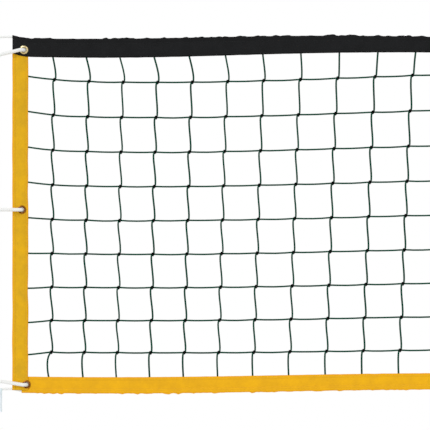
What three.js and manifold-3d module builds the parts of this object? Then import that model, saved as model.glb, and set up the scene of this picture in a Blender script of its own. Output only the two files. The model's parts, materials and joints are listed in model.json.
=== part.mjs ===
// A volleyball net strung between two telescoping steel posts.
// Millimetres, +Z up. X runs along the net and -Y is the side that a spectator looks from.
// The origin is on the floor, midway between the posts.

import * as THREE from 'three';
import { mergeVertices } from 'three/addons/utils/BufferGeometryUtils.js';
import Module from 'manifold-3d';

const wasm = await Module();
wasm.setup();

// Driving dimensions
const gap = 0.3; // kept between pieces that bear on each other
const roundSides = 20; // sides of the nested tubes, alike so that their flats line up
const smallSides = 10; // sides of bores, shafts and pins

// Net: height of its top edge above the floor, tapes, and every second strand of its twine
const net = { length: 9750, height: 1001, top: 2430 };
const tape = { top: 53, bottom: 46, side: 44, thickness: 1.3, pocket: 1.9, bulb: 5.2, neck: 12 };
const foldSteps = { roped: 6, plain: 4 };
const netting = { twine: 3, gapsAlong: 48, gapsUp: 5, sideInset: 6, topInset: 19, bottomInset: 39 };
const grommet = { bore: 7, barrel: 8.2, flange: 12, rim: 1.4, bevel: 1.2 };

// Each lashing: how far its grommet sits in from the net's side edge and down from its top,
// and how much higher its hook on the mast is than the grommet
const lashings = [
  { name: 'top', inset: 32.4, drop: 33.3, rise: -138 },
  { name: 'middle', inset: 26.8, drop: 483.6, rise: 0 },
  { name: 'bottom', inset: 39.5, drop: 976.6, rise: 91 },
];
const lashing = { diameter: 10.6, bend: 9.5, stand: 10.9, seizing: 17, seizingFrom: 6, seizingTo: 22 };
const knotProfile = [[0, 0], [8, 0], [11.5, 5], [10.5, 13], [0, 21]]; // the stopper knot, as [radius, height]
const knotTail = 8; // how far the rope reaches into its knot
const line = { diameter: 7, seizing: 12, seizingFrom: 5, seizingTo: 17 }; // the head rope and the foot rope
const eyeRoom = 0.5; // between an eye of rope and the rod inside it
const tail = { diameter: 6, out: 32.5, end: 1376 };
const ropeSides = 8;
const leaveHem = 5; // how far past the tape's end the head rope starts to climb

// Posts: a bolted base, a fixed sleeve, and a mast that slides in a bush at the sleeve's top
const postX = 5500;
const plate = { size: 500, thickness: 12, corner: 30, boltSpread: 205, boltHole: 7 };
const socket = { outer: 54, height: 130 };
const gusset = { reach: 165, toe: 12, height: 112, thickness: 8, top: 14 };
const bolt = { shank: 6, washer: 13, washerHeight: 2.5, head: 11, headHeight: 8 };
const sleeve = { radius: 44.5, wall: 3.5, top: 1000 };
const bush = { wall: 2.4, length: 60, flange: 3 };
const mast = { radius: 38, wall: 3, bottom: 360, top: 2340 };
const collar = { outer: 53, bottom: 954, top: 1000, boss: 13, bossStart: 50, bossEnd: 64 };
const knob = { stud: 5, z: 977, start: 66, thickness: 16, radius: 19, bevel: 2 };
const lobes = { depth: 2.5, count: 5, steps: 20 };
const hook = { rod: 4, reach: 60, low: 13, high: 17, weld: 2.1 };

// Mast heads: two cheeks that carry a sheave on the left and hold the rope's eye on the right
const head = { cheek: 5, slot: 8, boss: 17, out: 36, flange: 8, spigot: 22, back: 26, front: 28, rise: 12 };
const sheave = { ropeRadius: 34, rim: 36.5, halfWidth: 7.2, grooveHalf: 2.6, lip: 1 };
const headPinSize = { radius: 5, head: 8, headHeight: 3, overhang: 1 };
const headRopeOut = 2437; // height of the head rope where it meets the sheave
const rightPinZ = 2427;

// Winch on the left mast: a drum, a 4 to 1 gear pair, a crank and a ratchet
const winch = { z: 1780, shaft: 6, bore: 6.7 };
const teeth = { module: 1.75, gear: 48, pinion: 12, gearAt: -50, face: 8, pinionOverlap: 1 };
const toothForm = { root: 1.25, tip: 0.9, gear: [0.66, 0.2], pinion: [0.6, 0.24] }; // shares of module, pitch
const drum = { core: 16.2, flange: 32, inside: 27.6, wall: 3, front: -54, back: 50 };
const winding = { radius: 20, pitch: 7.8, loops: 3, startY: -11.7, steps: 20, sides: 6, liveTurn: 162 };
const frame = { web: 5, webHalf: 52, plateAt: 34, plate: 4, uBolt: 62, webEnd: 78, boltHole: 5.2 };
const uBolt = { rod: 4, room: 1.5, nut: 7.5, nutHeight: 6.2, thread: 4.5 };
const crank = { length: 150, bar: 6, halfWidth: 11, at: -64, spindle: 5, nut: 10, nutHeight: 6.7 };
const grip = { start: -67, end: -145, cap: 8, capHeight: 3.5, capGap: 0.5 };
const ratchet = { teeth: 16, tip: 25, root: 20.5, faceAngle: 84, at: 42, thickness: 5 };
const pawl = { x: -32, z: 26, eye: 7, ride: 6.8, pin: 4, pinHead: 6.5, headHeight: 2, headRoom: 0.5 };

// Colours and finishes
const finishes = {
  blackTape: { color: 0x1f2023, roughness: 0.85, metalness: 0 },
  yellowTape: { color: 0xe5ad26, roughness: 0.8, metalness: 0 },
  greenTwine: { color: 0x24382f, roughness: 0.9, metalness: 0 },
  whiteRope: { color: 0xf0f0ec, roughness: 0.85, metalness: 0 },
  brass: { color: 0xc8a35a, roughness: 0.35, metalness: 1 },
  powderCoat: { color: 0x2b2f33, roughness: 0.55, metalness: 0 },
  aluminium: { color: 0xc3c6c8, roughness: 0.35, metalness: 1 },
  zincSteel: { color: 0xaeb1b3, roughness: 0.4, metalness: 1 },
  nylon: { color: 0x1c1c1e, roughness: 0.5, metalness: 0 },
};

const left = -1;
const right = 1;
const sideName = (mirror) => (mirror === left ? 'left' : 'right');

// Solids and booleans

function solidOf(geometry) {
  const bare = geometry.clone();
  bare.deleteAttribute('normal');
  bare.deleteAttribute('uv');
  const merged = mergeVertices(bare, 1e-4);
  const corners = merged.index.array;
  const kept = [];
  for (let i = 0; i < corners.length; i += 3) {
    const [a, b, c] = corners.slice(i, i + 3);
    if (a !== b && b !== c && c !== a) kept.push(a, b, c);
  }
  return new wasm.Manifold(new wasm.Mesh({
    numProp: 3,
    vertProperties: merged.attributes.position.array,
    triVerts: Uint32Array.from(kept),
  }));
}

function geometryOf(solid) {
  const mesh = solid.getMesh();
  const geometry = new THREE.BufferGeometry();
  geometry.setAttribute('position', new THREE.BufferAttribute(mesh.vertProperties, 3));
  geometry.setIndex(new THREE.BufferAttribute(mesh.triVerts, 1));
  geometry.computeVertexNormals();
  return geometry;
}

function join(...pieces) {
  return geometryOf(pieces.map(solidOf).reduce((whole, piece) => whole.add(piece)));
}

function cut(piece, ...tools) {
  return geometryOf(tools.map(solidOf).reduce((rest, tool) => rest.subtract(tool), solidOf(piece)));
}

// Basic forms

function outline(points) {
  return new THREE.Shape(points.map(([x, y]) => new THREE.Vector2(x, y)));
}

// Points of an arc about a centre, with angles in degrees from the first axis to the second
function arc(cx, cy, radius, from, to, steps) {
  return Array.from({ length: steps + 1 }, (_, i) => {
    const angle = THREE.MathUtils.degToRad(from + ((to - from) * i) / steps);
    return [cx + radius * Math.cos(angle), cy + radius * Math.sin(angle)];
  });
}

function ring(cx, cy, radius, sides = smallSides) {
  return arc(cx, cy, radius, 0, 360, sides).slice(0, sides);
}

// A profile of [radius, height] points turned about +Z
function turned(profile, sides = roundSides) {
  const points = profile.map(([r, h]) => new THREE.Vector2(r, h));
  if (THREE.ShapeUtils.area(points) < 0) points.reverse();
  if (points.some((point) => point.x === 0)) {
    while (points[0].x !== 0 || points.at(-1).x !== 0) points.push(points.shift());
  } else {
    points.push(points[0].clone());
  }
  return new THREE.LatheGeometry(points, sides).rotateX(Math.PI / 2);
}

function rod(radius, from, to, sides = smallSides) {
  return turned([[0, from], [radius, from], [radius, to], [0, to]], sides);
}

const aboutY = (geometry) => geometry.rotateX(-Math.PI / 2); // turns a form from +Z to +Y
const aboutX = (geometry) => geometry.rotateY(Math.PI / 2); // turns a form from +Z to +X

function slab(shape, depth) {
  return new THREE.ExtrudeGeometry(shape, { depth, bevelEnabled: false });
}

// A plate whose outline is drawn in X and Z, filling Y between two places
function plateXZ(shape, from, to) {
  return slab(shape, to - from).rotateX(Math.PI / 2).translate(0, to, 0);
}

// A route that visits each of its points in turn
class Route extends THREE.Curve {
  constructor(points) {
    super();
    this.points = points.map(([x, y, z]) => new THREE.Vector3(x, y, z));
  }

  indexAt(u) {
    return Math.round(u * (this.points.length - 1));
  }

  getPointAt(u, target = new THREE.Vector3()) {
    return target.copy(this.points[this.indexAt(u)]);
  }

  direction(from) {
    const start = Math.min(Math.max(from, 0), this.points.length - 2);
    return new THREE.Vector3().subVectors(this.points[start + 1], this.points[start]).normalize();
  }

  getTangentAt(u, target = new THREE.Vector3()) {
    const i = this.indexAt(u);
    return target.addVectors(this.direction(i - 1), this.direction(i)).normalize();
  }
}

function tube(points, diameter, sides = ropeSides) {
  const section = outline(ring(0, 0, diameter / 2, sides));
  return new THREE.ExtrudeGeometry(section, { steps: points.length - 1, extrudePath: new Route(points) });
}

// The net

const netBottom = net.top - net.height;
const sideEdge = net.length / 2;
const headRopeZ = net.top - tape.bulb;
const footRopeZ = netBottom + tape.bulb;
const tapeFace = tape.pocket + tape.thickness;

// A tape folded over an edge, drawn as [across, away from the fold].
// A rope in the fold makes it bulge, and below its neck both layers run side by side.
function foldedTape(width, roped) {
  const foldRadius = roped ? tape.bulb : tapeFace;
  const steps = roped ? foldSteps.roped : foldSteps.plain;
  const layer = (radius, reach) => [
    [reach, width],
    ...(roped ? [[reach, tape.neck]] : []),
    ...arc(0, 0, radius, 0, 180, steps).map(([x, y]) => [x, foldRadius - y]),
    ...(roped ? [[-reach, tape.neck]] : []),
    [-reach, width],
  ];
  const outside = layer(foldRadius, tapeFace);
  const inside = layer(foldRadius - tape.thickness, tape.pocket);
  return outline([...outside, ...inside.reverse()]);
}

function grommetPlace(mirror, { inset, drop }) {
  return { x: mirror * (sideEdge - inset), z: net.top - drop };
}

function grommetHole(mirror, which) {
  const { x, z } = grommetPlace(mirror, which);
  return aboutY(rod(grommet.barrel + gap, -tape.neck, tape.neck)).translate(x, 0, z);
}

// Extrusions laid so that their outline's x goes across the net, along Y
function alongNet(shape, awayFromFold) {
  const basis = new THREE.Matrix4().makeBasis(
    new THREE.Vector3(0, 1, 0),
    new THREE.Vector3(0, 0, awayFromFold),
    new THREE.Vector3(awayFromFold, 0, 0),
  );
  return slab(shape, net.length).applyMatrix4(basis).translate(-awayFromFold * sideEdge, 0, 0);
}

function topTape() {
  const strip = alongNet(foldedTape(tape.top, true), -1).translate(0, 0, net.top);
  return cut(strip, grommetHole(left, lashings[0]), grommetHole(right, lashings[0]));
}

function bottomTape() {
  const strip = alongNet(foldedTape(tape.bottom, true), 1).translate(0, 0, netBottom);
  return cut(strip, grommetHole(left, lashings[2]), grommetHole(right, lashings[2]));
}

function sideTape(mirror) {
  const low = netBottom + tape.bottom + gap;
  const high = net.top - tape.top - gap;
  const basis = new THREE.Matrix4().makeBasis(
    new THREE.Vector3(0, 1, 0),
    new THREE.Vector3(-mirror, 0, 0),
    new THREE.Vector3(0, 0, mirror),
  );
  const strip = slab(foldedTape(tape.side, false), high - low).applyMatrix4(basis);
  strip.translate(mirror * sideEdge, 0, mirror === left ? high : low);
  return cut(strip, grommetHole(mirror, lashings[1]));
}

// Square-mesh netting, whose border strands lie inside the tapes
function nettingSheet() {
  const { twine, gapsAlong, gapsUp } = netting;
  const width = net.length - 2 * netting.sideInset;
  const low = netBottom + netting.bottomInset;
  const height = net.top - netting.topInset - low;
  const upright = (i) => new THREE.BoxGeometry(twine, twine, height + twine)
    .translate((i / gapsAlong - 0.5) * width, 0, low + height / 2);
  const level = (j) => new THREE.BoxGeometry(width + twine, twine, twine)
    .translate(0, 0, low + (j / gapsUp) * height);
  const strands = [
    ...Array.from({ length: gapsUp + 1 }, (_, j) => level(j)),
    ...Array.from({ length: gapsAlong + 1 }, (_, i) => upright(i)),
  ];
  return join(...strands);
}

// An eyelet that grips both faces of the tape
function grommetRing() {
  const face = tapeFace + gap;
  const crown = face + grommet.rim;
  const upper = [
    [grommet.bore, crown - gap],
    [grommet.flange - grommet.bevel, crown],
    [grommet.flange, face],
    [grommet.barrel, face],
  ];
  const lower = upper.map(([r, h]) => [r, -h]).reverse();
  return aboutY(turned([...upper, ...lower], smallSides));
}

// Ropes

const hookX = postX - hook.reach;

const eyeRadius = (rodRadius, diameter) => rodRadius + eyeRoom + diameter / 2;

// An eye of rope round a rod, about +Z
function ropeEye(rodRadius, diameter) {
  return new THREE.TorusGeometry(eyeRadius(rodRadius, diameter), diameter / 2, 6, 8);
}

// A lashing comes from its stopper knot behind the net, through the grommet, and turns
// along the front face to an eye dropped over the mast's hook
function lashingRope(mirror, which) {
  const { x, z } = grommetPlace(mirror, which);
  const behind = tapeFace + gap + grommet.rim + gap;
  const front = -lashing.stand;
  const bend = arc(0, 0, lashing.bend, 0, 90, 4).map(([across, out]) => [
    x + mirror * (lashing.bend - across),
    front + lashing.bend - out,
    z,
  ]);
  const endX = hookX - eyeRadius(hook.rod, lashing.diameter);
  const end = new THREE.Vector3(mirror * endX, front, z + which.rise);
  const towardsNet = new THREE.Vector3(...bend.at(-1)).sub(end).normalize();
  const seizing = [lashing.seizingFrom, lashing.seizingTo].map((along) => {
    return end.clone().addScaledVector(towardsNet, along).toArray();
  });
  return join(
    tube([[x, behind + knotTail, z], ...bend, end.toArray()], lashing.diameter),
    tube(seizing, lashing.seizing),
    aboutY(turned(knotProfile, ropeSides)).translate(x, behind, z),
    ropeEye(hook.rod, lashing.diameter).translate(mirror * hookX, front, z + which.rise),
  );
}

function footRope() {
  const end = hookX - eyeRadius(hook.rod, line.diameter);
  const at = (x) => [x, 0, footRopeZ];
  const pieces = [left, right].flatMap((mirror) => [
    ropeEye(hook.rod, line.diameter).translate(mirror * hookX, 0, footRopeZ),
    tube([at(mirror * (end - line.seizingTo)), at(mirror * (end - line.seizingFrom))], line.seizing),
  ]);
  return join(tube([at(-end), at(end)], line.diameter), ...pieces);
}

// A hitch of thinner cord round the foot rope, whose free end hangs down
const tailX = -(sideEdge + tail.out);
const hitchRadius = line.diameter / 2 + gap + tail.diameter / 2;

function footRopeHitch() {
  const loop = new THREE.TorusGeometry(hitchRadius, tail.diameter / 2, 6, 10);
  return aboutX(loop).translate(tailX, 0, footRopeZ);
}

function footRopeTail() {
  const top = footRopeZ - hitchRadius - tail.diameter / 2 - gap;
  const middle = (top + tail.end) / 2;
  return tube([[tailX, 0, top], [tailX, 0, middle], [tailX, 0, tail.end]], tail.diameter);
}

const sheaveZ = headRopeOut - sheave.ropeRadius;
const sheaveX = postX + head.out;
const drumX = sheaveX + sheave.ropeRadius + winding.radius;

// The head rope runs from its eye on the right mast's pin through the top tape, over the
// left mast's sheave and down to the drum, where it lies beside the turns already wound
function headRope() {
  const end = sheaveX - eyeRadius(headPinSize.radius, line.diameter);
  const overSheave = arc(-sheaveX, sheaveZ, sheave.ropeRadius, 90, 180, 8);
  const underDrum = arc(-drumX, winch.z, winding.radius, 0, -winding.liveTurn, 9);
  const liveY = winding.startY - winding.pitch;
  const route = [
    [end, 0, rightPinZ],
    [sideEdge + leaveHem, 0, headRopeZ],
    [-sideEdge - leaveHem, 0, headRopeZ],
    ...overSheave.map(([x, z]) => [x, 0, z]),
    ...underDrum.map(([x, z]) => [x, liveY, z]),
  ];
  const eye = aboutY(ropeEye(headPinSize.radius, line.diameter)).translate(sheaveX, 0, rightPinZ);
  const seizing = tube(
    [[end - line.seizingTo, 0, rightPinZ], [end - line.seizingFrom, 0, rightPinZ]],
    line.seizing,
  );
  return join(tube(route, line.diameter), eye, seizing);
}

function windingPoints() {
  const { radius, pitch, loops, startY, steps } = winding;
  const turns = Array.from({ length: loops * steps + 1 }, (_, i) => {
    const angle = (i / steps) * 2 * Math.PI;
    return [radius * Math.cos(angle), startY + (pitch * i) / steps, -radius * Math.sin(angle)];
  });
  const deadY = startY + pitch * loops;
  return [[radius, startY, line.diameter], ...turns, [radius, deadY, -line.diameter]];
}

// Least gap between turns, measured on points that are at least half a turn apart
function leastGap(points, apart, diameter) {
  let least = Infinity;
  points.forEach((a, i) => points.slice(i + apart).forEach((b) => {
    least = Math.min(least, Math.hypot(a[0] - b[0], a[1] - b[1], a[2] - b[2]));
  }));
  return least - diameter;
}

function windingRope() {
  const points = windingPoints();
  const least = leastGap(points, winding.steps / 2, line.diameter);
  console.log(`least gap between the drum's turns: ${least.toFixed(2)} mm`);
  return tube(points, line.diameter, winding.sides);
}

// Posts

const boltPlaces = [[1, 1], [-1, 1], [-1, -1], [1, -1]].map(([x, y]) => [
  x * plate.boltSpread,
  y * plate.boltSpread,
]);

// A welded base: plate, socket and four gussets
function basePlate() {
  const half = plate.size / 2;
  const inset = half - plate.corner;
  const corners = [[1, 1, 0], [-1, 1, 90], [-1, -1, 180], [1, -1, 270]];
  const foot = outline(corners.flatMap(([x, y, turn]) => {
    return arc(x * inset, y * inset, plate.corner, turn, turn + 90, 4);
  }));
  boltPlaces.forEach(([x, y]) => foot.holes.push(outline(ring(x, y, plate.boltHole))));
  const root = plate.thickness - 1;
  const top = plate.thickness + socket.height;
  const inner = sleeve.radius + gap;
  const wall = turned([[inner, root], [socket.outer, root], [socket.outer, top], [inner, top]]);
  const start = socket.outer - 2;
  const web = outline([
    [start, root],
    [gusset.reach, root],
    [gusset.reach, plate.thickness + gusset.toe],
    [start + gusset.top, plate.thickness + gusset.height],
    [start, plate.thickness + gusset.height],
  ]);
  const webs = [45, 135, 225, 315].map((turn) => {
    const rib = plateXZ(web, -gusset.thickness / 2, gusset.thickness / 2);
    return rib.rotateZ(THREE.MathUtils.degToRad(turn));
  });
  return join(slab(foot, plate.thickness), wall, ...webs);
}

// A hexagon bolt and its washer, with the shank's end flush with the floor
function anchorBolt() {
  const seat = plate.thickness + gap;
  const under = seat + bolt.washerHeight;
  return join(
    rod(bolt.shank, gap, under, 6),
    rod(bolt.washer, seat, under, 8),
    rod(bolt.head, under - 0.5, under + bolt.headHeight, 6),
  );
}

// The hole for the knob's stud, from the mast's middle out past the collar's boss
const studHole = () => aboutY(rod(knob.stud + gap, -2 * collar.bossEnd, 0)).translate(0, 0, knob.z);

function sleeveTube() {
  const inner = sleeve.radius - sleeve.wall;
  const low = plate.thickness + gap;
  const wall = [[inner, low], [sleeve.radius, low], [sleeve.radius, sleeve.top], [inner, sleeve.top]];
  return cut(turned(wall), studHole());
}

function mastBush() {
  const inner = mast.radius + gap;
  const outer = inner + bush.wall;
  const rest = sleeve.top + gap;
  const wall = [
    [inner, sleeve.top - bush.length],
    [outer, sleeve.top - bush.length],
    [outer, rest],
    [sleeve.radius, rest],
    [sleeve.radius, rest + bush.flange],
    [inner, rest + bush.flange],
  ];
  return cut(turned(wall), studHole());
}

function clampCollar() {
  const inner = sleeve.radius + gap;
  const { outer, bottom, top } = collar;
  const band = turned([[inner, bottom], [outer, bottom], [outer, top], [inner, top]]);
  const boss = aboutY(rod(collar.boss, -collar.bossEnd, -collar.bossStart)).translate(0, 0, knob.z);
  return cut(join(band, boss), studHole());
}

// A lobed knob on the stud that presses on the mast
function clampKnob() {
  const edge = Array.from({ length: lobes.steps }, (_, i) => {
    const angle = (i / lobes.steps) * 2 * Math.PI;
    const radius = knob.radius + lobes.depth * Math.cos(lobes.count * angle);
    return [radius * Math.cos(angle), radius * Math.sin(angle)];
  });
  const handle = new THREE.ExtrudeGeometry(outline(edge), {
    depth: knob.thickness - 2 * knob.bevel,
    bevelThickness: knob.bevel,
    bevelSize: knob.bevel,
    bevelSegments: 1,
  });
  handle.rotateX(Math.PI / 2).translate(0, -knob.start - knob.bevel, 0);
  const stud = aboutY(rod(knob.stud, -knob.start - knob.bevel - 1, -mast.radius - 0.5));
  return join(handle, stud);
}

// The rod hooks that the lashings and the foot rope hang on, welded to the mast's inner side
function mastTube(mirror) {
  const inner = mast.radius - mast.wall;
  const { radius: outer, bottom, top } = mast;
  const wall = turned([[inner, bottom], [outer, bottom], [outer, top], [inner, top]]);
  const places = lashings.map(({ drop, rise }) => [-lashing.stand, net.top - drop + rise]);
  const hooks = [...places, [0, footRopeZ]].map(([y, z]) => {
    const root = Math.sqrt(outer ** 2 - y ** 2) - hook.weld;
    const low = z - hook.low;
    const bent = [
      [root, low],
      [hook.reach - 6, low],
      [hook.reach - 1, low + 2],
      [hook.reach, low + 7],
      [hook.reach, z + hook.high],
    ];
    return tube(bent.map(([out, up]) => [-mirror * out, y, up]), 2 * hook.rod, 6);
  });
  return join(wall, ...hooks);
}

// A cast head: a spigot in the mast's top and two cheeks for the pin
function mastHead(mirror, pinZ) {
  const spigot = mast.radius - mast.wall - gap;
  const seat = mast.top + gap;
  const cap = turned([
    [0, mast.top - head.spigot],
    [spigot, mast.top - head.spigot],
    [spigot, seat],
    [mast.radius, seat],
    [mast.radius, seat + head.flange],
    [0, seat + head.flange],
  ]);
  const low = seat + head.flange - 2;
  const cheekEdge = [
    [-head.back, low],
    [head.front, low],
    ...arc(head.out, pinZ, head.boss, -20, 130, 6),
    [-head.back, seat + head.flange + head.rise],
  ];
  const cheek = outline(cheekEdge.map(([out, z]) => [mirror * out, z]));
  cheek.holes.push(outline(ring(mirror * head.out, pinZ, headPinSize.radius + gap)));
  const cheeks = [-head.slot - head.cheek, head.slot].map((y) => plateXZ(cheek, y, y + head.cheek));
  return join(cap, ...cheeks);
}

function headPin() {
  const face = head.slot + head.cheek + gap;
  const { radius, head: headRadius, headHeight, overhang } = headPinSize;
  return join(
    aboutY(rod(radius, -face - overhang, face + overhang)),
    aboutY(rod(headRadius, -face - headHeight, -face)),
    aboutY(rod(headRadius, face, face + headHeight)),
  );
}

function sheaveWheel() {
  const groove = sheave.ropeRadius - line.diameter / 2 - gap;
  const { halfWidth, rim, lip, grooveHalf } = sheave;
  const bore = headPinSize.radius + gap;
  const half = [[bore, halfWidth], [rim, halfWidth], [rim, halfWidth - lip], [groove, grooveHalf]];
  return aboutY(turned([...half, ...half.map(([r, y]) => [r, -y]).reverse()]));
}

// Winch, drawn about the drum's axis

const pinionZ = -(teeth.module * (teeth.gear + teeth.pinion)) / 2;

// Straight-flanked teeth, with their widths at root and tip as shares of the pitch.
// The first tooth's middle points along +X turned by `turn` degrees.
function toothedEdge(count, [atRoot, atTip], turn) {
  const pitchRadius = (teeth.module * count) / 2;
  const tooth = 360 / count;
  const width = (share) => (tooth * share) / 2;
  const root = pitchRadius - toothForm.root * teeth.module;
  const tip = pitchRadius + toothForm.tip * teeth.module;
  const flank = [[root, -width(atRoot)], [tip, -width(atTip)], [tip, width(atTip)], [root, width(atRoot)]];
  return Array.from({ length: count }, (_, i) => flank.map(([radius, offset]) => {
    const angle = THREE.MathUtils.degToRad(turn + i * tooth + offset);
    return [radius * Math.cos(angle), radius * Math.sin(angle)];
  })).flat();
}

function boredPlate(edge, bore, from, to) {
  const shape = outline(edge);
  shape.holes.push(outline(ring(0, 0, bore)));
  return plateXZ(shape, from, to);
}

function drumBody() {
  const outer = drum.inside + drum.wall;
  return aboutY(turned([
    [0, drum.front],
    [winch.shaft, drum.front],
    [winch.shaft, -outer],
    [drum.flange, -outer],
    [drum.flange, -drum.inside],
    [drum.core, -drum.inside],
    [drum.core, drum.inside],
    [drum.flange, drum.inside],
    [drum.flange, outer],
    [winch.shaft, outer],
    [winch.shaft, drum.back],
    [0, drum.back],
  ]));
}

// The gear's gap, not a tooth, faces straight down to the pinion
function drumGear() {
  const edge = toothedEdge(teeth.gear, toothForm.gear, -90 + 180 / teeth.gear);
  return boredPlate(edge, winch.bore, teeth.gearAt, teeth.gearAt + teeth.face);
}

// The teeth's steep faces stop the drum from paying out
function ratchetWheel() {
  const step = 360 / ratchet.teeth;
  const edge = Array.from({ length: ratchet.teeth }, (_, i) => {
    const angle = THREE.MathUtils.degToRad(ratchet.faceAngle + i * step);
    return [ratchet.tip, ratchet.root].map((r) => [r * Math.cos(angle), r * Math.sin(angle)]);
  }).flat();
  return boredPlate(edge, winch.bore, ratchet.at, ratchet.at + ratchet.thickness);
}

function pinionShaft() {
  const edge = outline(toothedEdge(teeth.pinion, toothForm.pinion, 90));
  const { gearAt, face, pinionOverlap } = teeth;
  const nutFace = crank.at - gap;
  return join(
    aboutY(rod(winch.shaft, crank.at - 4, frame.plateAt + frame.plate + 4)),
    plateXZ(edge, gearAt - pinionOverlap, gearAt + face + pinionOverlap),
    aboutY(rod(crank.nut, nutFace - crank.nutHeight, nutFace, 6)),
  );
}

function crankArm() {
  const bar = outline([
    ...arc(0, 0, crank.halfWidth, 0, 180, 6),
    ...arc(0, -crank.length, crank.halfWidth, 180, 360, 6),
  ]);
  bar.holes.push(outline(ring(0, 0, winch.bore)));
  const capFace = grip.end - grip.capGap;
  const spindle = aboutY(rod(crank.spindle, capFace - 2.5, crank.at + 2));
  const cap = aboutY(rod(grip.cap, capFace - grip.capHeight, capFace));
  return join(
    plateXZ(bar, crank.at, crank.at + crank.bar),
    spindle.translate(0, 0, -crank.length),
    cap.translate(0, 0, -crank.length),
  );
}

function crankGrip() {
  const bore = crank.spindle + gap;
  const middle = (grip.start + grip.end) / 2;
  return aboutY(turned([
    [bore, grip.end],
    [11, grip.end],
    [13.5, grip.end + 7],
    [12.2, middle],
    [13.8, grip.start - 7],
    [11, grip.start],
    [bore, grip.start],
  ], smallSides));
}

// The pawl is drawn about its own pin with its tip in a notch, then lifted until the tip
// rides just over the teeth
function pawlLever() {
  const toPin = ([x, z]) => [x - pawl.x, z - pawl.z];
  const edge = [
    [1.7, 21.4],
    [2.3, 27.5],
    [-8, 31],
    ...arc(pawl.x, pawl.z, pawl.eye, 75, 285, 6),
    [-7.5, 25.9],
    [-0.6, 23.2],
  ];
  const lever = boredPlate(edge.map(toPin), pawl.pin + gap, ratchet.at, ratchet.at + ratchet.thickness);
  return lever.rotateY(-THREE.MathUtils.degToRad(pawl.ride));
}

const mastFace = drumX - postX - mast.radius - gap; // the web's face against the mast

// A web held to the mast by two U-bolts, with two side plates that carry the shafts
function winchFrame() {
  const { web, webHalf, plateAt, plate: thick, webEnd } = frame;
  const low = pinionZ - webEnd;
  const webEdge = outline([[-webHalf, low], [webHalf, low], [webHalf, webEnd], [-webHalf, webEnd]]);
  const back = slab(webEdge, web).rotateX(Math.PI / 2).rotateZ(Math.PI / 2);
  const cheek = outline([
    [mastFace - 2, -80],
    [mastFace - 2, 50],
    [-20, 50],
    [-40, 30],
    [-40, -36],
    [-18, -74],
    [8, -80],
  ]);
  [0, pinionZ].forEach((z) => cheek.holes.push(outline(ring(0, z, winch.bore))));
  const headFace = ratchet.at + ratchet.thickness + pawl.headRoom;
  const pawlPin = aboutY(rod(pawl.pin, plateAt + 1, headFace + 1.5));
  const pinHead = aboutY(rod(pawl.pinHead, headFace, headFace + pawl.headHeight));
  const body = join(
    back.translate(mastFace - web, 0, 0),
    plateXZ(cheek, -plateAt - thick, -plateAt),
    plateXZ(cheek, plateAt, plateAt + thick),
    pawlPin.translate(pawl.x, 0, pawl.z),
    pinHead.translate(pawl.x, 0, pawl.z),
  );
  const holes = [frame.uBolt, pinionZ - frame.uBolt].flatMap((z) => [-1, 1].map((y) => {
    return aboutX(rod(frame.boltHole, mastFace - 2 * web, mastFace + web)).translate(0, y * uBoltLeg, z);
  }));
  return cut(body, ...holes);
}

const uBoltLeg = mast.radius + uBolt.room + uBolt.rod; // the bow rounds the mast with a little room

function uBoltWithNuts() {
  const mastX = drumX - postX;
  const nutTop = mastFace - frame.web - gap - uBolt.nutHeight;
  const start = nutTop - uBolt.thread;
  const bow = arc(mastX, 0, uBoltLeg, -90, 90, 8).map(([x, y]) => [x, y, 0]);
  const nuts = [-1, 1].map((y) => {
    return aboutX(rod(uBolt.nut, nutTop, nutTop + uBolt.nutHeight, 6)).translate(0, y * uBoltLeg, 0);
  });
  const bent = tube([[start, -uBoltLeg, 0], ...bow, [start, uBoltLeg, 0]], 2 * uBolt.rod, 6);
  return join(bent, ...nuts);
}

// Assembly

const assembly = new THREE.Group();

function add(parent, name, geometry, finish, x = 0, y = 0, z = 0) {
  const mesh = new THREE.Mesh(geometry, new THREE.MeshStandardMaterial(finishes[finish]));
  mesh.name = name;
  mesh.position.set(x, y, z);
  parent.add(mesh);
}

function addPost(mirror) {
  const post = new THREE.Group();
  post.position.x = mirror * postX;
  const name = sideName(mirror);
  const pinZ = mirror === left ? sheaveZ : rightPinZ;
  add(post, `base_plate_${name}`, basePlate(), 'powderCoat');
  boltPlaces.forEach(([x, y], i) => {
    add(post, `anchor_bolt_${name}_${i + 1}`, anchorBolt(), 'zincSteel', x, y);
  });
  add(post, `sleeve_tube_${name}`, sleeveTube(), 'powderCoat');
  add(post, `mast_bush_${name}`, mastBush(), 'nylon');
  add(post, `clamp_collar_${name}`, clampCollar(), 'aluminium');
  add(post, `clamp_knob_${name}`, clampKnob(), 'nylon', 0, 0, knob.z);
  add(post, `mast_${name}`, mastTube(mirror), 'aluminium');
  add(post, `mast_head_${name}`, mastHead(mirror, pinZ), 'aluminium');
  add(post, `head_pin_${name}`, headPin(), 'zincSteel', mirror * head.out, 0, pinZ);
  if (mirror === left) add(post, 'sheave', sheaveWheel(), 'nylon', -head.out, 0, pinZ);
  assembly.add(post);
}

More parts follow.
